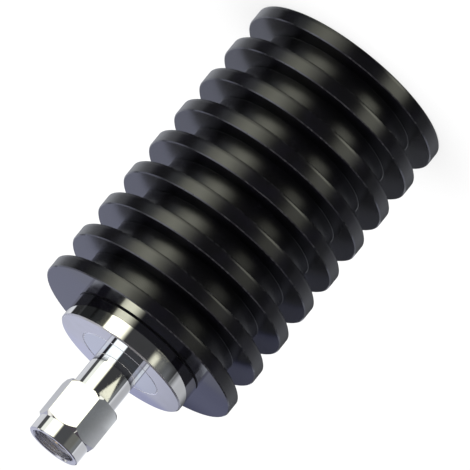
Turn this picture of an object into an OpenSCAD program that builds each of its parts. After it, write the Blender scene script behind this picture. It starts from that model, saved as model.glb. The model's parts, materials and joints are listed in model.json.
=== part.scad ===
// Coaxial termination (dummy load): a finned round heat sink with a screw-on coaxial plug.
// It stands on the closed end of the heat sink. +Z runs along the axis, towards the plug.

/* [Heat sink] */
// Number of round fins
fin_count = 9; // [5:1:14]
// Outer diameter of the fins
fin_d = 30.8; // [28:0.1:40]
// Thickness of one fin
fin_t = 2.1; // [1.4:0.1:3]
// Distance from one fin to the next
fin_pitch = 5.6; // [4.5:0.1:7]
// Diameter of the core at the groove floors
core_d = 23.4; // [20:0.1:26]
// Broken edge on each fin
fin_edge = 0.15; // [0.05:0.05:0.4]
// Fillet radius at the foot of each fin
groove_fillet = 0.1; // [0.05:0.05:1]
// Bore for the load cartridge
bore_d = 14; // [12:0.1:16]
// Solid thickness left at the closed end
floor_t = 6; // [3:0.1:9]

/* [Mounting flange] */
// Diameter of the flange
flange_d = 20; // [17:0.1:26]
// Thickness of the flange in front of the heat sink
flange_t = 3.8; // [3.2:0.1:6]
// Chamfer on the flange's outer edges
flange_edge = 0.2; // [0.05:0.05:0.5]
// Length of the spigot that enters the heat sink
spigot_l = 6; // [4:0.1:9]

/* [Connector body] */
// Diameter of the round base let into the flange
base_d = 12.4; // [10.5:0.1:14]
// Thickness of that base
base_t = 2.2; // [1.5:0.1:2.8]
// Fine chamfer on both sides of the base's joint line
joint_edge = 0.12; // [0.05:0.01:0.2]
// Diameter of the tail behind the base
tail_d = 8.4; // [7.4:0.1:9.5]
// Length of the tail behind the base
tail_l = 3.6; // [2.5:0.1:4.5]
// Diameter of the visible neck
neck_d = 6.7; // [6.3:0.1:8]
// Length of the visible neck
neck_l = 6; // [3:0.1:10]
// Diameter of the journal that the nut turns on
journal_d = 5.3; // [5.1:0.05:5.6]
// Diameter of the front ferrule, the outer contact
ferrule_d = 4.6; // [4.5:0.01:4.65]
// Diameter of the insulator's bore in the ferrule
line_d = 4.1; // [4:0.01:4.2]
// Diameter of the wider insulator seat behind the neck
seat_d = 5; // [4.5:0.05:5.4]
// Depth of that seat from the tail's end
seat_l = 7; // [4:0.1:9]

/* [Coupling nut] */
// Width across the flats
nut_af = 8; // [7.95:0.01:8.4]
// Length of the hexagon
hex_l = 6.15; // [5.6:0.05:8]
// Length of the coned corners at each end of the hexagon
hex_cone_l = 0.6; // [0.3:0.05:1]
// Diameter of the circle that the rear corners are coned to
hex_back_d = 8.35; // [8:0.05:9]
// Diameter of the round nose
nose_d = 7.9; // [7.4:0.05:7.9]
// Length of the round nose
nose_l = 2.35; // [1:0.05:3]
// Broken edge on the nose's rim
nose_edge = 0.12; // [0.05:0.01:0.3]
// Turn of the hexagon about the axis at rest
hex_turn = 20; // [0:1:59]
// Root diameter of the coupling thread
thread_d = 6.35; // [6.2:0.01:6.6]
// Countersink on the thread's mouth
mouth_chamfer = 0.22; // [0.1:0.01:0.4]
// Thickness of the inner wall that the ring pulls on
nut_wall = 2.8; // [2.4:0.05:3.2]

/* [Retaining ring and gasket] */
// Thickness of the retaining ring
ring_t = 0.6; // [0.4:0.05:0.8]
// Inner diameter of the retaining ring
ring_in = 4.5; // [4.4:0.05:4.8]
// Outer diameter of the retaining ring
ring_out = 6; // [5.8:0.05:6.3]
// Gap that lets the ring spring open
ring_gap = 1.2; // [0.6:0.1:2]
// Distance from the nut's rear face to the ring's middle
ring_z = 1.75; // [1.4:0.05:1.9]
// Thickness of the gasket
gasket_t = 0.9; // [0.5:0.05:1.2]
// Outer diameter of the gasket
gasket_d = 5.9; // [5.4:0.05:6]

/* [Contact and insulator] */
// Distance from the nut's rim back to the ferrule's face
mouth_depth = 2.9; // [2.5:0.05:3.4]
// Diameter of the contact pin
pin_d = 0.92; // [0.9:0.01:0.94]
// Distance from the nut's rim back to the pin's tip
pin_inset = 0.7; // [0.4:0.05:1.2]
// Length of the pin's tapered tip
pin_tip_l = 0.35; // [0.2:0.05:0.5]
// Diameter of the contact inside the insulator
contact_d = 1.27; // [1.2:0.01:1.35]
// Diameter of the contact's tail in the resistor's cap
contact_tail_d = 0.9; // [0.7:0.05:1]

/* [Resistor and load line] */
// Diameter of the resistor's ceramic rod
rod_d = 3; // [2.4:0.1:3.6]
// Broken edge at each end of the rod
rod_edge = 0.1; // [0.05:0.05:0.2]
// Diameter of the plated end caps
cap_d = 3.6; // [3.4:0.1:4]
// Length of each end cap
cap_l = 3.2; // [2.4:0.1:4]
// Thickness of each cap's end wall
cap_end_t = 0.8; // [0.5:0.05:1]
// Gap in the line between the insulator and the front cap
line_gap = 2.1; // [1.5:0.1:3]
// Diameter of the tapered line at its front end
taper_front_d = 6.9; // [6:0.1:7.2]
// Diameter of the tapered line at its rear end
taper_rear_d = 4.1; // [4:0.1:5]
// Length of the ground plug
plug_l = 13; // [9:0.1:16]
// Depth of the socket in the ground plug
socket_l = 4.1; // [3.5:0.1:5]
// Outer diameter of the ground collet
collet_d = 4.7; // [4.4:0.1:5.4]
// Length of the ground collet
collet_l = 3.1; // [2.5:0.1:3.4]
// Number of spring fingers on the collet
finger_count = 6; // [4:1:8]
// Width of the slots between the fingers
finger_slot = 0.35; // [0.2:0.05:0.5]
// Solid hoop left at the collet's foot
collet_hoop = 0.8; // [0.5:0.1:1.2]

/* [Clearances] */
// Radial gap between pieces that seat in each other
seat_gap = 0.02; // [0.01:0.01:0.05]
// Axial gap between faces that meet end to end
face_gap = 0.02; // [0.01:0.01:0.1]
// Radial gap between the nut and its journal
run_gap = 0.05; // [0.03:0.01:0.1]
// Axial play of the nut
nut_play = 0.1; // [0.06:0.01:0.15]

/* [Hidden] */
$fn = 96;

// Cuts reach this far past the surface that they open
over = 1;
// The nut's round blank is this much larger than the hexagon's corners
blank_margin = 0.2;

// Stations along the axis, from the closed end to the plug's mouth
sink_l = (fin_count - 1) * fin_pitch + fin_t;
flange_face = sink_l + flange_t;
base_foot = flange_face - base_t;
tail_end = base_foot - tail_l;
neck_end = flange_face + neck_l;
nut_back = neck_end + nut_play;
hex_front = nut_back + hex_l;
nut_front = hex_front + nose_l;
thread_floor = nut_back + nut_wall;
journal_end = thread_floor + nut_play;
ferrule_face = nut_front - mouth_depth;
pin_tip = nut_front - pin_inset;
ring_mid = nut_back + ring_z;

// Stations of the load line inside the heat sink
spigot_end = sink_l - spigot_l;
sleeve_shoulder = spigot_end - face_gap;
sleeve_nose = tail_end - face_gap;
front_cap_face = tail_end - line_gap;
rod_front = front_cap_face - cap_end_t - face_gap;
plug_face = floor_t + plug_l;
socket_floor = plug_face - socket_l;
rear_cap_face = socket_floor + face_gap;
rod_rear = rear_cap_face + cap_end_t + face_gap;
sleeve_rear = plug_face + face_gap;

// Fixed shares of the sizes above
hex_corner_r = nut_af / 2 / cos(30);
blank_r = hex_corner_r + blank_margin;
fin_r = fin_d / 2;
core_r = core_d / 2;
groove_w = fin_pitch - fin_t;
ring_groove_in = ring_in - 2 * run_gap;
ring_groove_out = ring_out + 2 * run_gap;
ring_groove_w = ring_t + nut_play;
rim_d = thread_d + 2 * mouth_chamfer;

// Length of a cone from its foot to the blank, so that it meets the corners after hex_cone_l
function cone_run(foot_r) = hex_cone_l * (blank_r - foot_r) / (hex_corner_r - foot_r);

// A round bar or bore from one station to another
module bar(d, from, to) {
    translate([0, 0, from]) cylinder(d = d, h = to - from);
}

// A round bore that runs past both of its ends
module through(d, from, to) {
    bar(d, from - over, to + over);
}

// A disc or bar with both of its rims broken
module edged_bar(d, from, to, edge) {
    rotate_extrude() polygon([
        [0, from], [d / 2 - edge, from], [d / 2, from + edge],
        [d / 2, to - edge], [d / 2 - edge, to], [0, to]
    ]);
}

// Half section of one groove: a flat floor, two fillets and broken rims
module groove_section(foot) {
    top = foot + groove_w;
    inner = core_r + groove_fillet;
    translate([core_r, foot + groove_fillet]) square([over, groove_w - 2 * groove_fillet]);
    for (z = [foot + groove_fillet, top - groove_fillet])
        translate([inner, z]) circle(r = groove_fillet, $fn = 48);
    polygon([
        [inner, foot], [fin_r - fin_edge, foot], [fin_r, foot - fin_edge],
        [fin_r + over, foot - fin_edge], [fin_r + over, top + fin_edge],
        [fin_r, top + fin_edge], [fin_r - fin_edge, top], [inner, top]
    ]);
}

module heat_sink() {
    color([0.06, 0.06, 0.07]) difference() {
        edged_bar(fin_d, 0, sink_l, fin_edge);
        for (i = [0 : fin_count - 2])
            rotate_extrude() groove_section(i * fin_pitch + fin_t);
        bar(bore_d, floor_t, sink_l + over);
    }
}

module mounting_flange() {
    color([0.78, 0.78, 0.8]) difference() {
        union() {
            edged_bar(flange_d, sink_l, flange_face, flange_edge);
            bar(bore_d - 2 * seat_gap, spigot_end, sink_l + flange_edge);
        }
        through(tail_d + 2 * seat_gap, spigot_end, base_foot);
        bar(base_d + 2 * seat_gap, base_foot - face_gap, flange_face + over);
        translate([0, 0, flange_face - joint_edge])
            cylinder(d1 = base_d + 2 * seat_gap, d2 = base_d + 2 * seat_gap + 4 * joint_edge,
                     h = 2 * joint_edge);
    }
}

module connector_body() {
    color([0.8, 0.8, 0.82]) difference() {
        union() {
            bar(tail_d, tail_end, base_foot);
            edged_bar(base_d, base_foot, flange_face, joint_edge);
            bar(neck_d, base_foot, neck_end);
            bar(journal_d, neck_end, journal_end);
            bar(ferrule_d, journal_end, ferrule_face);
        }
        through(line_d, tail_end, ferrule_face);
        bar(seat_d, tail_end - over, tail_end + seat_l);
        difference() {
            bar(journal_d + over, ring_mid - ring_groove_w / 2, ring_mid + ring_groove_w / 2);
            through(ring_groove_in, ring_mid, ring_mid);
        }
    }
}

// The round blank of the nut: two cones that trim the hexagon's corners, and the nose
module nut_blank() {
    rotate_extrude() polygon([
        [0, nut_back], [hex_back_d / 2, nut_back],
        [blank_r, nut_back + cone_run(hex_back_d / 2)],
        [blank_r, hex_front - cone_run(nose_d / 2)],
        [nose_d / 2, hex_front], [nose_d / 2, nut_front - nose_edge],
        [nose_d / 2 - nose_edge, nut_front], [0, nut_front]
    ]);
}

module coupling_nut() {
    color([0.82, 0.82, 0.82]) difference() {
        intersection() {
            nut_blank();
            translate([0, 0, nut_back - over]) rotate(hex_turn)
                cylinder(r = hex_corner_r, h = nut_front - nut_back + 2 * over, $fn = 6);
        }
        through(journal_d + 2 * run_gap, nut_back, thread_floor);
        bar(ring_groove_out, ring_mid - ring_groove_w / 2 - nut_play / 2,
            ring_mid + ring_groove_w / 2 + nut_play / 2);
        bar(thread_d, thread_floor, nut_front + over);
        translate([0, 0, nut_front - mouth_chamfer])
            cylinder(d1 = thread_d, d2 = rim_d + 2 * mouth_chamfer, h = 2 * mouth_chamfer);
    }
}

module retaining_ring() {
    color([0.72, 0.6, 0.36]) difference() {
        bar(ring_out, ring_mid - ring_t / 2, ring_mid + ring_t / 2);
        through(ring_in, ring_mid, ring_mid);
        translate([0, -ring_gap / 2, ring_mid - over]) cube([ring_out, ring_gap, 2 * over]);
    }
}

module gasket() {
    foot = journal_end + face_gap;
    color([0.75, 0.28, 0.2]) difference() {
        bar(gasket_d, foot, foot + gasket_t);
        through(ferrule_d + 2 * seat_gap, foot, foot + gasket_t);
    }
}

module insulator() {
    color([0.95, 0.95, 0.93]) difference() {
        union() {
            bar(line_d - 2 * seat_gap, tail_end, ferrule_face);
            bar(seat_d - 2 * seat_gap, tail_end, tail_end + seat_l - face_gap);
        }
        through(contact_d + 2 * seat_gap, tail_end, ferrule_face);
    }
}

module contact_pin() {
    tail_foot = rod_front + face_gap;
    color([0.85, 0.65, 0.25]) {
        bar(contact_tail_d, tail_foot, front_cap_face + face_gap);
        bar(contact_d, front_cap_face + face_gap, ferrule_face);
        bar(pin_d, ferrule_face, pin_tip - pin_tip_l);
        translate([0, 0, pin_tip - pin_tip_l])
            cylinder(d1 = pin_d, d2 = pin_d - pin_tip_l, h = pin_tip_l);
    }
}

module resistor_rod() {
    color([0.35, 0.42, 0.38]) edged_bar(rod_d, rod_rear, rod_front, rod_edge);
}

// A plated cup for one end of the rod, with its end wall at the foot
module end_cap() {
    difference() {
        bar(cap_d, 0, cap_l);
        bar(rod_d + 2 * seat_gap, cap_end_t, cap_l + over);
    }
}

module front_end_cap() {
    color([0.8, 0.78, 0.72]) difference() {
        translate([0, 0, front_cap_face]) mirror([0, 0, 1]) end_cap();
        through(contact_tail_d + 2 * seat_gap, rod_front, front_cap_face);
    }
}

module rear_end_cap() {
    color([0.8, 0.78, 0.72]) translate([0, 0, rear_cap_face]) end_cap();
}

module load_sleeve() {
    color([0.75, 0.62, 0.35]) rotate_extrude() polygon([
        [taper_rear_d / 2, sleeve_rear], [bore_d / 2 - seat_gap, sleeve_rear],
        [bore_d / 2 - seat_gap, sleeve_shoulder], [tail_d / 2, sleeve_shoulder],
        [tail_d / 2, sleeve_nose], [taper_front_d / 2, sleeve_nose]
    ]);
}

module ground_plug() {
    color([0.75, 0.62, 0.35]) difference() {
        bar(bore_d - 2 * seat_gap, floor_t, plug_face);
        bar(collet_d + 2 * seat_gap, socket_floor, plug_face + over);
    }
}

module ground_collet() {
    foot = rear_cap_face;
    color([0.8, 0.62, 0.3]) difference() {
        bar(collet_d, foot, foot + collet_l);
        through(cap_d + 2 * seat_gap, foot, foot + collet_l);
        for (i = [0 : finger_count - 1])
            rotate(i * 360 / finger_count)
                translate([0, -finger_slot / 2, foot + collet_hoop])
                    cube([collet_d, finger_slot, collet_l]);
    }
}

heat_sink();
mounting_flange();
connector_body();
coupling_nut();
retaining_ring();
gasket();
insulator();
contact_pin();
resistor_rod();
front_end_cap();
rear_end_cap();
load_sleeve();
ground_plug();
ground_collet();
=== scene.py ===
# Looks of a coaxial RF dummy load: finned heat sink, polished flange and a plug with a loose nut
import json
import math
from types import SimpleNamespace

import bpy
from mathutils import Matrix, Vector


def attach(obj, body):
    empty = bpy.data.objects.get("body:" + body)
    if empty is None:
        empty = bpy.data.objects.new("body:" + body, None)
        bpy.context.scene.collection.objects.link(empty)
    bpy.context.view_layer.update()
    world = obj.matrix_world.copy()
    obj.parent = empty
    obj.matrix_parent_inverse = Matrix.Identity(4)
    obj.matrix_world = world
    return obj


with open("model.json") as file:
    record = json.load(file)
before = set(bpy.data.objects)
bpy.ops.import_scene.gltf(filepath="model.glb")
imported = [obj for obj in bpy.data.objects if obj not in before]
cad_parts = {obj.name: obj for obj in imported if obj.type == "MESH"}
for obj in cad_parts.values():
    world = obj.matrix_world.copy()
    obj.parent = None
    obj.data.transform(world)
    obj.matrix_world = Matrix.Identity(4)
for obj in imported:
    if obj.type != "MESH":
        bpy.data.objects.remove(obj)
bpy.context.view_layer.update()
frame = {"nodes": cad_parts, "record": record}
mm = 0.001                                  # sizes below are in millimetres, angles in degrees
print("frame loaded with", len(frame["nodes"]), "CAD nodes")


# half width and top of a CAD node
def boxOf(node):
    spots = [vertex.co / mm for vertex in frame["nodes"][node].data.vertices]
    return max(spot.x for spot in spots), max(spot.z for spot in spots)


sinkRadius, sinkFace = boxOf("heat_sink")
flangeRadius, flangeFace = boxOf("mounting_flange")
baseRadius = boxOf("connector_body")[0]
nutEnd = boxOf("coupling_nut")[1]


class Sock:
    # a node socket that stands in sums and products; each operator adds its Math node
    def __init__(self, tree, link=None):
        self.tree = tree
        self.link = link

    # settings first, since they can change which sockets a node has
    def add(self, kind, settings=None, values=None, out=0):
        node = self.tree.nodes.new(kind)
        for name, value in (settings or {}).items():
            setattr(node, name, value)
        for key, value in (values or {}).items():
            if isinstance(value, Sock):
                self.tree.links.new(value.link, node.inputs[key])
            else:
                node.inputs[key].default_value = value
        return Sock(self.tree, node.outputs[out] if len(node.outputs) else None)

    def maths(self, operation, *terms):
        return self.add("ShaderNodeMath", {"operation": operation}, dict(enumerate(terms)))

    def __add__(self, other):
        return self.maths("ADD", self, other)

    def __sub__(self, other):
        return self.maths("SUBTRACT", self, other)

    def __rsub__(self, other):
        return self.maths("SUBTRACT", other, self)

    def __mul__(self, other):
        return self.maths("MULTIPLY", self, other)

    def __truediv__(self, other):
        return self.maths("DIVIDE", self, other)

    __radd__ = __add__
    __rmul__ = __mul__

    # 0 below low, 1 above high, with a soft rise between them
    def rise(self, low, high):
        return self.add("ShaderNodeMapRange", {"interpolation_type": "SMOOTHSTEP"},
                        {"Value": self, "From Min": low, "From Max": high})

    # 1 between start and end, fading over soft at both sides
    def band(self, start, end, soft):
        half = soft / 2
        return self.rise(start - half, start + half) * (1 - self.rise(end - half, end + half))

    def mix(self, low, high):
        return self.add("ShaderNodeMix", {"data_type": "RGBA"}, {"Factor": self, "A": low, "B": high}, 2)

    def scale(self, vector, times):
        return self.add("ShaderNodeVectorMath", {"operation": "SCALE"}, {0: vector, "Scale": times})

    # x, y and z of a vector
    def parts(self):
        return [self.add("ShaderNodeSeparateXYZ", None, {0: self}, axis) for axis in range(3)]

    def noise(self, scale, detail, roughness=0.5):
        return self.add("ShaderNodeTexNoise", None,
                        {"Vector": self, "Scale": scale, "Detail": detail, "Roughness": roughness})

    # noise along one coordinate, as a tool leaves rings while it feeds
    def rings(self, perUnit, detail):
        return self.add("ShaderNodeTexNoise", {"noise_dimensions": "1D"},
                        {"W": self, "Scale": perUnit, "Detail": detail})


def rgb(r, g, b):
    return (r, g, b, 1.0)


# Camera

cameraSet = {
    "elevation": 15.798,
    "roll": -140.986,
    "target": (-1.094, 0.0, 26.777),
    "distance": 835.0,
    "lens": 475.4,
    "sensor": 36.0,
    "clip": (50.0, 20000.0),
}


def makeCamera(s):
    e, roll = math.radians(s["elevation"]), math.radians(s["roll"])
    back = Vector((0.0, -math.cos(e), math.sin(e)))
    side = Vector((1.0, 0.0, 0.0))
    rise = back.cross(side)
    right = math.cos(roll) * side + math.sin(roll) * rise
    up = -math.sin(roll) * side + math.cos(roll) * rise
    turn = Matrix((right, up, back)).transposed().to_4x4()
    data = bpy.data.cameras.new("camera")
    data.lens = s["lens"]
    data.sensor_width = s["sensor"]
    data.clip_start, data.clip_end = (end * mm for end in s["clip"])
    cam = bpy.data.objects.new("camera", data)
    cam.matrix_world = Matrix.Translation((Vector(s["target"]) + back * s["distance"]) * mm) @ turn
    bpy.context.scene.collection.objects.link(cam)
    bpy.context.scene.camera = cam


makeCamera(cameraSet)
print("camera set")


# Finishes: noises are scale per millimetre, detail and roughness, and rings are scale and detail

# a material with an empty tree, and the socket that its nodes are added by
def blankFinish(name):
    finish = bpy.data.materials.new(name)
    finish.use_nodes = True
    finish.node_tree.nodes.clear()
    return finish, Sock(finish.node_tree)


def makeFinish(name, constants, recipe):
    finish, s = blankFinish(name)
    shader = s.add("ShaderNodeBsdfPrincipled", None, {**constants, **recipe(s)})
    s.add("ShaderNodeOutputMaterial", None, {"Surface": shader})
    return finish


# place on the piece: the vector, its x, y and z, and r from the axis
def placeOn(s):
    spot = s.scale(s.add("ShaderNodeTexCoord", None, None, "Object"), 1 / mm)
    x, y, z = spot.parts()
    return SimpleNamespace(spot=spot, x=x, y=y, z=z, r=s.maths("SQRT", x * x + y * y))


# 1 on faces square to the axis, 0 on walls that run along it, and between them on chamfers
def tiltOn(s):
    normal = s.add("ShaderNodeTexCoord", None, None, "Normal")
    return s.maths("ABSOLUTE", s.add("ShaderNodeSeparateXYZ", None, {0: normal}, "Z"))


faceTilt = (0.6, 0.8)                       # a tilt above this is a face


# a lathe's marks: rings along the axis on walls, and outwards from it on faces
def turned(at, face, onWalls, onFaces, faceMarks=1.0):
    return at.z.rings(*onWalls) * (1 - face) + at.r.rings(*onFaces) * face * faceMarks


def bump(s, height, depth):
    return s.add("ShaderNodeBump", None, {"Height": height, "Distance": depth * mm})


anodisedSet = {
    "black": rgb(0.0034, 0.0033, 0.0042),
    "violet": rgb(0.0046, 0.0042, 0.0070),
    "bare": rgb(0.12, 0.12, 0.125),
    "ior": 1.34,
    "cloud": (0.35, 3.0),
    "cloudRise": (0.35, 0.7),
    "grain": (9.0, 4.0, 0.6),
    "grainHeight": 0.5,
    "wallRings": (5.5, 3.0),
    "faceRings": (6.5, 3.0),
    "faceMarks": 0.3,
    "toolMark": 0.0011,
    "rimGloss": 0.22,
    "coreGloss": 0.26,
    "faceGloss": 0.17,
    "frontGloss": 0.04,
    "glossSpread": 0.05,
    "coreRise": (sinkRadius - 3.4, sinkRadius - 3.2),
    "frontRise": (sinkFace - 0.1, sinkFace - 0.05),
    "frontSmooth": 0.85,
    "edgeTilt": (0.5, 0.9, 0.1),
    "edgeRise": (sinkRadius - 0.18, sinkRadius - 0.16),
    "wear": (2.2, 4.0),
    "wearRise": (0.35, 0.6),
    "wearLeast": 0.7,
    "finPitch": 5.6,
    "rearReach": 0.3,
    "roundRun": (0.12, 0.50),
    "roundDepth": 34.0,
}


def anodised(s):
    a = anodisedSet
    at = placeOn(s)
    tilt = tiltOn(s)
    face = tilt.rise(*faceTilt)
    cloud = at.spot.noise(*a["cloud"])
    grain = at.spot.noise(*a["grain"])
    marks = turned(at, face, a["wallRings"], a["faceRings"], a["faceMarks"])
    # bare metal on the fins' sharp edges
    edge = tilt.band(*a["edgeTilt"]) * at.r.rise(*a["edgeRise"])
    wear = at.spot.noise(*a["wear"]).rise(*a["wearRise"])
    rubbed = edge * (a["wearLeast"] + (1 - a["wearLeast"]) * wear)
    colour = cloud.rise(*a["cloudRise"]).mix(a["black"], a["violet"])
    front = at.z.rise(*a["frontRise"])      # the face under the flange is turned finer
    core = (1 - face) * (1 - at.r.rise(*a["coreRise"]))
    gloss = a["rimGloss"] + core * (a["coreGloss"] - a["rimGloss"])
    gloss = gloss + face * (a["faceGloss"] - a["rimGloss"])
    gloss = gloss + front * face * (a["frontGloss"] - a["faceGloss"])
    # the fins' rear edges, at whole pitches from the closed end, catch light as if rounded off
    pitches = (at.z + a["rearReach"]) / a["finPitch"]
    pastEdge = s.maths("FRACT", pitches) * a["finPitch"] - a["rearReach"]
    rounded = pastEdge.rise(*a["roundRun"]) * a["roundDepth"]
    relief = (marks + a["grainHeight"] * grain) * (1 - a["frontSmooth"] * front * face)
    return {
        "Base Color": rubbed.mix(colour, a["bare"]),
        "Metallic": rubbed,
        "Roughness": gloss + a["glossSpread"] * (cloud + grain) - a["glossSpread"],
        "Normal": bump(s, relief + rounded, a["toolMark"]),
    }


blackAnodised = makeFinish("blackAnodised", {"IOR": anodisedSet["ior"]}, anodised)

nickelSet = {
    "bright": rgb(0.64, 0.63, 0.615),
    "warm": rgb(0.61, 0.60, 0.575),
    # painted shade: darker, bluer plating inside the nut's bore
    "paintedBoreShade": rgb(0.56, 0.56, 0.61),
    "disc": rgb(0.635, 0.65, 0.645),
    # painted highlight: brighter plating on the joint's chamfers, so the joint line reads light
    "paintedJointHighlight": rgb(0.92, 0.92, 0.94),
    "cloud": (0.5, 3.0),
    "cloudRise": (0.3, 0.75),
    "smear": (3.0, 4.0, 0.6),
    "smearRise": (0.45, 0.8),
    "rings": (9.0, 2.0),
    "toolMark": 0.0001,
    "gloss": 0.02,
    "smearGloss": 0.03,
    "markGloss": 0.01,
    "mouthGloss": 0.42,
    "jointGloss": 0.4,
    "edgeGloss": 0.3,
    "mouthRise": (nutEnd - 5.7, nutEnd - 5.5),
    "mouthWall": (3.22, 3.27),
    "discPlace": (flangeFace - 0.3, flangeFace + 0.2, 0.05),
    "discWall": (baseRadius - 0.02, baseRadius),
    "jointBand": (baseRadius - 0.12, baseRadius + 0.12, 0.02),
    "edgeTilt": (0.2, 0.96, 0.06),
    "edgeRise": (flangeRadius - 0.4, flangeRadius - 0.3),
}


def nickel(s):
    n = nickelSet
    at = placeOn(s)
    tilt = tiltOn(s)
    cloud = at.spot.noise(*n["cloud"])
    smear = at.spot.noise(*n["smear"]).rise(*n["smearRise"])
    marks = turned(at, tilt.rise(*faceTilt), n["rings"], n["rings"])
    # the bore inside the nut's mouth: rougher, and its plating darkened as painted shade in the recess
    mouth = at.z.rise(*n["mouthRise"]) * (1 - at.r.rise(*n["mouthWall"]))
    level = at.z.band(*n["discPlace"])
    disc = level * (1 - at.r.rise(*n["discWall"]))       # the connector's base in the flange
    joint = at.r.band(*n["jointBand"]) * level           # the joint's chamfers are left rougher, as turned, and carry a painted highlight: their plating is made brighter
    edge = tilt.band(*n["edgeTilt"]) * at.r.rise(*n["edgeRise"])      # the flange's rim
    plate = cloud.rise(*n["cloudRise"]).mix(n["bright"], n["warm"])
    plate = disc.mix(plate, n["disc"])
    # painted highlight along the joint line
    plate = joint.mix(plate, n["paintedJointHighlight"])
    gloss = n["gloss"] + n["smearGloss"] * smear + n["markGloss"] * marks
    gloss = gloss + n["mouthGloss"] * mouth + n["jointGloss"] * joint + n["edgeGloss"] * edge
    return {
        # painted shade: the plating in the bore is darker
        "Base Color": mouth.mix(plate, n["paintedBoreShade"]),
        "Roughness": gloss,
        "Normal": bump(s, marks, n["toolMark"]),
    }


nickelPlate = makeFinish("nickelPlate", {"Metallic": 1.0}, nickel)

bronzeSet = {
    "fresh": rgb(0.66, 0.47, 0.25),
    "dark": rgb(0.46, 0.29, 0.15),
    "tarnish": (1.4, 4.0),
    "tarnishRise": (0.35, 0.7),
    "rings": (14.0, 2.0),
    "drawMark": 0.0004,
    "gloss": 0.24,
    "tarnishGloss": 0.14,
    "markGloss": 0.05,
}


def bronze(s):
    b = bronzeSet
    at = placeOn(s)
    tarnish = at.spot.noise(*b["tarnish"]).rise(*b["tarnishRise"])
    drawn = at.z.rings(*b["rings"])
    return {
        "Base Color": tarnish.mix(b["fresh"], b["dark"]),
        "Roughness": b["gloss"] + b["tarnishGloss"] * tarnish + b["markGloss"] * drawn,
        "Normal": bump(s, drawn, b["drawMark"]),
    }


springBronze = makeFinish("springBronze", {"Metallic": 1.0}, bronze)

rubberSet = {
    "red": rgb(0.52, 0.115, 0.05),
    "dark": rgb(0.42, 0.08, 0.04),
    "speck": (14.0, 3.0, 0.6),
    "speckRise": (0.35, 0.7),
    "speckHeight": 0.002,
    "gloss": 0.5,
    "speckGloss": 0.16,
}


def rubber(s):
    b = rubberSet
    speck = placeOn(s).spot.noise(*b["speck"])
    return {
        "Base Color": speck.rise(*b["speckRise"]).mix(b["red"], b["dark"]),
        "Roughness": b["gloss"] + b["speckGloss"] * speck,
        "Normal": bump(s, speck, b["speckHeight"]),
    }


silicone = makeFinish("silicone", {}, rubber)

fluoroSet = {
    "white": rgb(0.86, 0.86, 0.83),
    "grey": rgb(0.80, 0.80, 0.77),
    "cloud": (1.6, 3.0),
    "cloudRise": (0.35, 0.7),
    "rings": (8.0, 2.0),
    "toolMark": 0.0012,
    "gloss": 0.42,
    "cloudGloss": 0.1,
}


def fluoro(s):
    f = fluoroSet
    at = placeOn(s)
    cloud = at.spot.noise(*f["cloud"])
    return {
        "Base Color": cloud.rise(*f["cloudRise"]).mix(f["white"], f["grey"]),
        "Roughness": f["gloss"] + f["cloudGloss"] * cloud,
        "Normal": bump(s, at.z.rings(*f["rings"]) + at.r.rings(*f["rings"]), f["toolMark"]),
    }


fluoropolymer = makeFinish("fluoropolymer", {}, fluoro)

goldSet = {
    "light": rgb(0.83, 0.58, 0.22),
    "deep": rgb(0.76, 0.50, 0.17),
    "cloud": (2.4, 3.0),
    "cloudRise": (0.35, 0.7),
    "rings": (18.0, 2.0),
    "toolMark": 0.0002,
    "gloss": 0.12,
    "cloudGloss": 0.08,
}


def gold(s):
    g = goldSet
    at = placeOn(s)
    cloud = at.spot.noise(*g["cloud"])
    return {
        "Base Color": cloud.rise(*g["cloudRise"]).mix(g["light"], g["deep"]),
        "Roughness": g["gloss"] + g["cloudGloss"] * cloud,
        "Normal": bump(s, at.z.rings(*g["rings"]), g["toolMark"]),
    }


goldPlate = makeFinish("goldPlate", {"Metallic": 1.0}, gold)

filmSet = {
    "ink": rgb(0.10, 0.13, 0.12),
    "dark": rgb(0.075, 0.095, 0.09),
    "ceramic": rgb(0.55, 0.53, 0.48),
    "mottle": (5.0, 4.0, 0.6),
    "mottleRise": (0.35, 0.7),
    "mottleHeight": 0.3,
    "cutPitch": 2.6,
    "cutBand": (0.46, 0.54, 0.03),
    "cutRun": (20.0, 38.0, 0.3),
    "cutDepth": 0.006,
    "gloss": 0.36,
    "mottleGloss": 0.12,
    "cutGloss": 0.15,
}


# resistive film with the spiral cut that trims its value
def film(s):
    f = filmSet
    at = placeOn(s)
    turn = s.maths("ARCTAN2", at.y, at.x) / (2 * math.pi)
    spiral = s.maths("FRACT", at.z / f["cutPitch"] + turn)
    cut = spiral.band(*f["cutBand"]) * at.z.band(*f["cutRun"])
    mottle = at.spot.noise(*f["mottle"])
    ink = mottle.rise(*f["mottleRise"]).mix(f["ink"], f["dark"])
    return {
        "Base Color": cut.mix(ink, f["ceramic"]),
        "Roughness": f["gloss"] + f["mottleGloss"] * mottle + f["cutGloss"] * cut,
        "Normal": bump(s, mottle * f["mottleHeight"] - cut, f["cutDepth"]),
    }


filmCeramic = makeFinish("filmCeramic", {}, film)

tinSet = {
    "light": rgb(0.66, 0.65, 0.62),
    "grey": rgb(0.56, 0.55, 0.53),
    "cloud": (3.0, 4.0, 0.6),
    "cloudRise": (0.3, 0.75),
    "rings": (12.0, 2.0),
    "toolMark": 0.0005,
    "gloss": 0.26,
    "cloudGloss": 0.14,
}


def tin(s):
    t = tinSet
    at = placeOn(s)
    cloud = at.spot.noise(*t["cloud"])
    return {
        "Base Color": cloud.rise(*t["cloudRise"]).mix(t["light"], t["grey"]),
        "Roughness": t["gloss"] + t["cloudGloss"] * cloud,
        "Normal": bump(s, at.z.rings(*t["rings"]) + cloud, t["toolMark"]),
    }


tinPlate = makeFinish("tinPlate", {"Metallic": 1.0}, tin)

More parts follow.
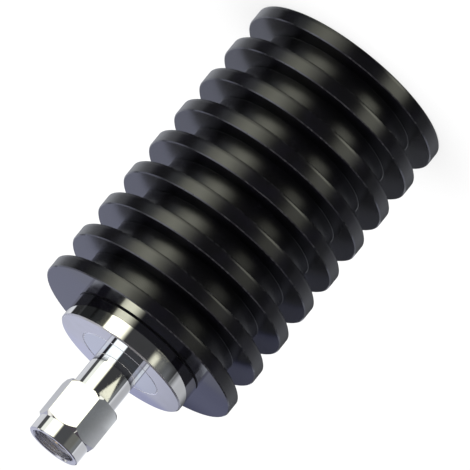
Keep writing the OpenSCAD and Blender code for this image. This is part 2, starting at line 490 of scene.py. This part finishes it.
brassSet = {
    "fresh": rgb(0.70, 0.50, 0.22),
    "dark": rgb(0.55, 0.37, 0.15),
    "cloud": (0.7, 4.0, 0.6),
    "cloudRise": (0.35, 0.7),
    "rings": (6.0, 3.0),
    "toolMark": 0.0009,
    "gloss": 0.22,
    "cloudGloss": 0.12,
    "markGloss": 0.05,
}


def brass(s):
    b = brassSet
    at = placeOn(s)
    cloud = at.spot.noise(*b["cloud"])
    marks = turned(at, tiltOn(s).rise(*faceTilt), b["rings"], b["rings"])
    return {
        "Base Color": cloud.rise(*b["cloudRise"]).mix(b["fresh"], b["dark"]),
        "Roughness": b["gloss"] + b["cloudGloss"] * cloud + b["markGloss"] * marks,
        "Normal": bump(s, marks, b["toolMark"]),
    }


bareBrass = makeFinish("bareBrass", {"Metallic": 1.0}, brass)

finishes = {
    "black_anodised": blackAnodised,
    "nickel_plate": nickelPlate,
    "spring_bronze": springBronze,
    "silicone": silicone,
    "fluoropolymer": fluoropolymer,
    "gold_plate": goldPlate,
    "film_ceramic": filmCeramic,
    "tin_plate": tinPlate,
    "bare_brass": bareBrass,
}
for part in frame["record"]["subparts"]:
    frame["nodes"][part["node"]].material_slots[0].material = finishes[part["material_slot"]]


# Thread in the nut: one helical ridge on the bore's wall

threadSet = {
    "Root Radius": 3.215,
    "Crest Radius": 2.835,
    "Pitch": 0.7056,
    "Start": nutEnd - 4.3,
    "Turns": 5.4,
    "Root Half": 0.33,
    "Crest Half": 0.06,
    "Run Out": 0.6,
    "End Share": 0.25,
    "Steps": 324,
}


def makeThread(s, finish):
    tree = bpy.data.node_groups.new("nutThread", "GeometryNodeTree")
    tree.interface.new_socket("Geometry", in_out="INPUT", socket_type="NodeSocketGeometry")
    named = {}
    for name, value in s.items():
        kind = "NodeSocketInt" if isinstance(value, int) else "NodeSocketFloat"
        named[name] = tree.interface.new_socket(name, in_out="INPUT", socket_type=kind)
    tree.interface.new_socket("Geometry", in_out="OUTPUT", socket_type="NodeSocketGeometry")
    g = Sock(tree)
    size = {name: g.add("NodeGroupInput", out=name) for name in s}
    columns = 5                             # lower foot, two crests, upper foot and the lower foot again
    grid = g.add("GeometryNodeMeshGrid", None,
                 {"Size X": 1.0, "Size Y": 1.0, "Vertices X": size["Steps"], "Vertices Y": columns})
    index = g.add("GeometryNodeInputIndex")
    column = g.maths("MODULO", index, columns)
    step = g.maths("FLOOR", (index + 0.5) / columns) / (size["Steps"] - 1)
    isCrest = g.maths("COMPARE", column, 1.5, 0.6)       # columns 1 and 2
    isUpper = g.maths("COMPARE", column, 2.5, 0.6)       # columns 2 and 3
    along = step * size["Turns"]
    shown = g.maths("MINIMUM", along, size["Turns"] - along) / size["Run Out"]
    shown = g.maths("MINIMUM", shown, 1.0)               # the ridge fades out at both ends
    radius = size["Root Radius"] - isCrest * shown * (size["Root Radius"] - size["Crest Radius"])
    half = isCrest * size["Crest Half"] + (1 - isCrest) * size["Root Half"]
    half = half * (size["End Share"] + (1 - size["End Share"]) * shown)
    angle = along * (2 * math.pi)
    height = size["Start"] + along * size["Pitch"] + (isUpper * 2 - 1) * half
    place = g.add("ShaderNodeCombineXYZ", None, {
        0: radius * g.maths("COSINE", angle) * mm,
        1: radius * g.maths("SINE", angle) * mm,
        2: height * mm,
    })
    weld = 0.0001                           # far below any size of the ridge
    ridge = g.add("GeometryNodeSetPosition", None, {"Geometry": grid, "Position": place})
    ridge = g.add("GeometryNodeMergeByDistance", None, {"Geometry": ridge, "Distance": weld * mm})
    ridge = g.add("GeometryNodeRealizeInstances", None, {"Geometry": ridge})
    ridge = g.add("GeometryNodeSetMaterial", None, {"Geometry": ridge, "Material": finish})
    g.add("NodeGroupOutput", None, {"Geometry": ridge})
    seed = bpy.data.objects.new("threadSeed", bpy.data.meshes.new("threadSeed"))
    bpy.context.scene.collection.objects.link(seed)
    modifier = seed.modifiers.new("thread", "NODES")
    modifier.node_group = tree
    for name, value in s.items():
        modifier[named[name].identifier] = value
    mesh = bpy.data.meshes.new_from_object(seed.evaluated_get(bpy.context.evaluated_depsgraph_get()))
    bpy.data.objects.remove(seed)
    mesh.name = "nutThread"
    thread = bpy.data.objects.new("nutThread", mesh)
    bpy.context.scene.collection.objects.link(thread)
    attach(thread, "nut")
    return thread


thread = makeThread(threadSet, nickelPlate)
print("thread made,", len(thread.data.polygons), "faces")


# Stage: pale floor, a round studio wall that only reflections show, a sky and an overhead softbox

# 1 for rays that show the background as it is: straight from the camera, in metal and through glass
def seenDirectly(g):
    rays = [g.add("ShaderNodeLightPath", None, None, name)
            for name in ("Is Camera Ray", "Is Glossy Ray", "Is Transmission Ray")]
    return g.maths("MAXIMUM", g.maths("MAXIMUM", rays[0], rays[1]), rays[2])


# degrees about the axis, from the camera's side towards +X
def angleAt(g, x, y):
    return g.maths("ARCTAN2", x, 0 - y) * (180 / math.pi)


def stagePiece(name, points, faces, surface):
    mesh = bpy.data.meshes.new(name)
    mesh.from_pydata(points, [], faces)
    piece = bpy.data.objects.new(name, mesh)
    bpy.context.scene.collection.objects.link(piece)
    finish, g = blankFinish(name)
    g.add("ShaderNodeOutputMaterial", None, {"Surface": surface(g)})
    mesh.materials.append(finish)
    return piece


floorSet = {
    "size": 3000.0,
    "drop": 0.02,
    "pale": rgb(0.92, 0.92, 0.92),
    "glow": 0.62,
}


def makeFloor(s):
    half, drop = s["size"] / 2 * mm, -s["drop"] * mm

    def surface(g):
        plain = g.add("ShaderNodeBsdfDiffuse", None, {"Color": s["pale"]})
        glow = g.add("ShaderNodeEmission", None, {"Strength": 1.0})      # white
        return g.add("ShaderNodeMixShader", None, {0: seenDirectly(g) * s["glow"], 1: plain, 2: glow})

    corners = [(-half, -half, drop), (half, -half, drop), (half, half, drop), (-half, half, drop)]
    floor = stagePiece("floor", corners, [(0, 1, 2, 3)], surface)
    floor.visible_glossy = False            # reflections look past it to the wall


makeFloor(floorSet)

wallSet = {
    "radius": 150.0,
    "low": -130.0,
    "high": 170.0,
    "steps": 96,
    "backLow": rgb(0.92, 0.95, 1.03),
    "backHigh": rgb(0.63, 0.655, 0.83),
    "backRise": (20.0, 90.0),
    "warm": (1.0, 1.01, 0.83),
    "cool": (0.92, 1.0, 1.08),
    "blue": (0.05, 0.10, 1.0),
}
anyAngle, anyHeight = 400.0, 400.0          # past the wall's ends

# slanted corner of the fill lamp, which the neck shows as a wedge
cornerSet = {
    "angle": -40.0,
    "perMm": 7.0,
    "soft": 4.0,
    "heights": (16.0, 20.4, 0.4),
    "strength": 1.3,
}

# each panel on the wall: start, end and softness of its angle, then of its height, then its strength,
# which for a shade or a block is the share of light that it takes
shades = {
    "flag": (-80.0, 109.0, 3.0, -anyHeight, anyHeight, 1.0, 0.93),
    "behindLeft": (156.0, anyAngle, 32.0, -anyHeight, 72.0, 10.0, 0.28),
    "limbLeft": (156.0, anyAngle, 32.0, -anyHeight, 30.0, 20.0, 0.30),
    "behindRight": (-anyAngle, -140.0, 40.0, -anyHeight, 14.8, 1.0, 0.87),
    "backRight": (-anyAngle, -140.0, 40.0, 34.0, 82.5, 5.0, 0.87),
    "lowRight": (-150.0, -90.0, 20.0, -anyHeight, 25.0, 6.0, 0.30),
    "nearRight": (-100.0, -70.0, 16.0, -anyHeight, 9.0, 4.0, 0.60),
    "lowLeft": (108.0, 130.0, 16.0, -anyHeight, 4.0, 8.0, 0.28),
    "farRight": (-177.0, -100.0, 6.0, 85.0, anyHeight, 6.0, 0.30),
    "finsRight": (-anyAngle, -150.0, 20.0, 77.0, 87.4, 0.6, 0.30),
    "high": (-132.0, 112.0, 10.0, 110.0, anyHeight, 8.0, 0.85),
    "edgeRight": (-132.0, -100.0, 10.0, 92.0, 145.0, 4.0, 0.85),
    "flangeRight": (-88.0, -78.0, 14.0, 10.8, 14.5, 0.6, 0.85),
    "window": (-150.0, -105.0, 12.0, 84.8, 86.6, 1.0, 0.50),
    "noseRight": (-150.0, -86.0, 8.0, 25.6, 32.0, 0.8, 0.12),
}
warmLamps = {
    "key": (22.0, 64.0, 12.0, -anyHeight, 32.0, 4.0, 2.4),
    "keyLow": (30.0, 67.0, 14.0, -anyHeight, 11.8, 0.8, 1.9),
    "keyCore": (37.0, 53.0, 14.0, -anyHeight, 11.8, 0.8, 2.3),
    "keyRim": (34.0, 69.0, 15.0, 0.5, 11.8, 0.8, 1.0),
    "keyRimLow": (34.0, 69.0, 15.0, -9.0, 11.8, 0.8, 0.5),
    "keyFront": (36.0, 50.0, 12.0, 11.8, 19.5, 1.0, 6.0),
    "keyHigh": (26.0, 56.0, 22.0, 81.0, 86.5, 0.3, 4.8),
    "neckSide": (62.0, 87.8, 6.0, 15.4, 50.0, 1.0, 0.68),
    "fill": (-55.0, -31.0, 14.0, 9.0, 11.6, 0.8, 1.2),
    "fillFlange": (-42.0, -31.0, 9.0, 12.6, 14.8, 0.8, 1.05),
    "fillSkirt": (-54.0, -40.0, 14.0, 12.6, 14.8, 0.8, 0.12),
    "fillBase": (-54.0, -30.0, 14.0, -anyHeight, 9.0, 0.8, 1.05),
    "fillLow": (-52.0, -27.0, 14.0, -anyHeight, -37.0, 72.0, 5.5),
    "fillNose": (-64.0, -28.0, 12.0, 20.4, 60.0, 0.6, 0.11),
}
coolLamps = {
    "keySide": (62.0, 82.0, 8.0, -anyHeight, 15.0, 1.0, 0.75),
    "neckSide": (62.0, 87.8, 6.0, 15.4, 50.0, 1.0, 0.68),
    "neckGap": (91.0, 109.0, 3.0, 15.4, 60.0, 1.0, 0.05),
    "flangeGap": (86.0, 114.0, 6.0, 9.8, 15.0, 0.6, 0.55),
    "keyTop": (22.0, 88.0, 8.0, 86.5, 95.0, 0.3, 2.4),
    "limbTop": (112.0, 144.0, 6.0, 86.5, 91.0, 0.3, 0.60),
    "limbTopRight": (-144.0, -112.0, 6.0, 86.6, 91.0, 0.3, 0.80),
    "frontTop": (-100.0, 20.0, 10.0, 86.5, 95.0, 0.3, 0.05),
    "side": (-84.0, -62.0, 14.0, 15.0, 60.0, 8.0, 0.20),
    "front": (-60.0, 20.0, 10.0, 23.0, 60.0, 6.0, 0.04),
    "flangeSkirt": (-70.0, -44.0, 10.0, 12.3, 14.8, 0.8, 0.08),
    "flatEdge": (-82.0, -79.75, 1.0, 20.5, 24.0, 1.0, 0.35),
}
blueLamps = {
    "finsRight": (-anyAngle, -150.0, 20.0, 77.0, 87.4, 0.6, 0.12),
    "finsLeft": (150.0, anyAngle, 20.0, 40.0, 87.4, 0.6, 0.06),
}
blocks = {
    "keyFoot": (10.0, 80.0, 10.0, -anyHeight, -38.0, 50.0, 0.45),
    "lower": (56.0, 135.0, 5.0, 9.8, 15.0, 0.6, 0.96),
    "upper": (56.5, 146.0, 5.0, 70.0, 86.5, 0.3, 0.88),
    "upperRight": (-118.0, -60.0, 3.0, 70.0, 86.5, 0.3, 0.9),
}


def makeWall(s):
    def surface(g):
        at = placeOn(g)
        angle = angleAt(g, at.x, at.y)

        def panel(start, end, soft, low, high, fade, strength):
            return angle.band(start, end, soft) * at.z.band(low, high, fade) * strength

        def leftBy(panels):
            return math.prod(1 - panel(*size) for size in panels.values())

        def litBy(panels):
            return sum(panel(*size) for size in panels.values())

        def joined(a, b):
            return g.add("ShaderNodeVectorMath", {"operation": "ADD"}, {0: a, 1: b})

        c = cornerSet
        foot = c["heights"][0]
        inside = (at.z - foot) * c["perMm"] - g.maths("ABSOLUTE", angle - c["angle"])
        corner = inside.rise(-c["soft"], c["soft"]) * at.z.band(*c["heights"]) * c["strength"]
        back = g.scale(at.z.rise(*s["backRise"]).mix(s["backLow"], s["backHigh"]), leftBy(shades))
        warm = g.scale(s["warm"], litBy(warmLamps) + corner)
        cool = joined(g.scale(s["cool"], litBy(coolLamps)), g.scale(s["blue"], litBy(blueLamps)))
        light = joined(back, joined(warm, cool))
        return g.add("ShaderNodeEmission", None, {"Color": light, "Strength": leftBy(blocks)})

    count = s["steps"]
    turns = [2 * math.pi * i / count for i in range(count)]
    ring = [(s["radius"] * math.cos(turn), s["radius"] * math.sin(turn)) for turn in turns]
    points = [(x * mm, y * mm, z * mm) for z in (s["low"], s["high"]) for x, y in ring]
    faces = [(i, count + i, count + (i + 1) % count, (i + 1) % count) for i in range(count)]
    wall = stagePiece("studioWall", points, faces, surface)
    wall.data.materials[0].cycles.emission_sampling = "NONE"
    wall.visible_camera = wall.visible_diffuse = wall.visible_shadow = wall.visible_transmission = False


makeWall(wallSet)

# each lamp in the sky has start, end and softness of its angle and of its rise, the sine of its height
skySet = {
    "backdrop": rgb(1.0, 1.0, 1.0),         # what the camera sees
    "ambient": rgb(0.55, 0.55, 0.55),       # what lights matt surfaces
    "pit": rgb(0.05, 0.05, 0.05),           # this and the rest show in reflections
    "dome": rgb(0.12, 0.12, 0.17),
    "domeRise": (-0.6, 0.1),
    "zenith": rgb(0.11, 0.10, 0.12),
    "zenithRise": (0.6, 0.9),
    "ceiling": rgb(0.75, 0.75, 0.78),
    "rearAngle": (-112.0, 112.0, 16.0),
    "rearRise": (0.84, 0.985, 0.03),
    "frontAngle": (-56.0, 40.0, 16.0),
    "frontRise": (0.58, 0.90, 0.04),
    "edgeLamp": rgb(1.0, 1.02, 1.16),
    "edgeAngle": (52.0, 104.0, 20.0),
    "edgeRise": (0.72, 0.92, 0.08),
    "coneLamp": rgb(1.4, 1.4, 1.35),
    "coneAngle": (-140.0, 118.0, 12.0),
    "coneRise": (0.60, 0.88, 0.08),
    "backLamp": rgb(2.4, 2.4, 2.3),
    "backAngle": (-114.0, -78.0, 8.0),
    "backRise": (0.958, 0.991, 0.006),
}


def makeWorld(s):
    world = bpy.data.worlds.new("studio")
    world.use_nodes = True
    world.node_tree.nodes.clear()
    world.cycles.sampling_method = "NONE"
    g = Sock(world.node_tree)
    x, y, up = g.add("ShaderNodeTexCoord", None, None, "Generated").parts()
    angle = angleAt(g, x, y)
    sky = up.rise(*s["domeRise"]).mix(s["pit"], s["dome"])
    sky = up.rise(*s["zenithRise"]).mix(sky, s["zenith"])
    rear = (1 - angle.band(*s["rearAngle"])) * up.band(*s["rearRise"])
    front = angle.band(*s["frontAngle"]) * up.band(*s["frontRise"])
    sky = (rear + front).mix(sky, s["ceiling"])          # bright panels for whoever looks from above
    edge = angle.band(*s["edgeAngle"]) * up.band(*s["edgeRise"])
    sky = edge.mix(sky, s["edgeLamp"])                   # caught by the fins' front edges
    cone = (1 - angle.band(*s["coneAngle"])) * up.band(*s["coneRise"])
    sky = cone.mix(sky, s["coneLamp"])                   # lights the nut's rear cone by way of the flange
    corner = angle.band(*s["backAngle"]) * up.band(*s["backRise"])
    sky = corner.mix(sky, s["backLamp"])                 # lights the nut's rear corner in the same way
    glossy = g.add("ShaderNodeLightPath", None, None, "Is Glossy Ray")
    colour = seenDirectly(g).mix(s["ambient"], glossy.mix(s["backdrop"], sky))
    light = g.add("ShaderNodeBackground", None, {"Color": colour})
    g.add("ShaderNodeOutputWorld", None, {"Surface": light})
    bpy.context.scene.world = world


makeWorld(skySet)

boxSet = {
    "size": 1400.0,
    "height": 1100.0,
    "forward": 250.0,
    "power": 16.0,
}


def makeSoftbox(s):
    data = bpy.data.lights.new("overheadSoftbox", "AREA")
    data.size = s["size"] * mm
    data.energy = s["power"]
    box = bpy.data.objects.new("overheadSoftbox", data)
    box.location = (0.0, -s["forward"] * mm, s["height"] * mm)
    box.rotation_euler = (-math.atan2(s["forward"], s["height"]), 0.0, 0.0)
    box.visible_camera = box.visible_glossy = False
    bpy.context.scene.collection.objects.link(box)


makeSoftbox(boxSet)
bpy.context.scene.view_settings.view_transform = "Standard"
print("stage set")
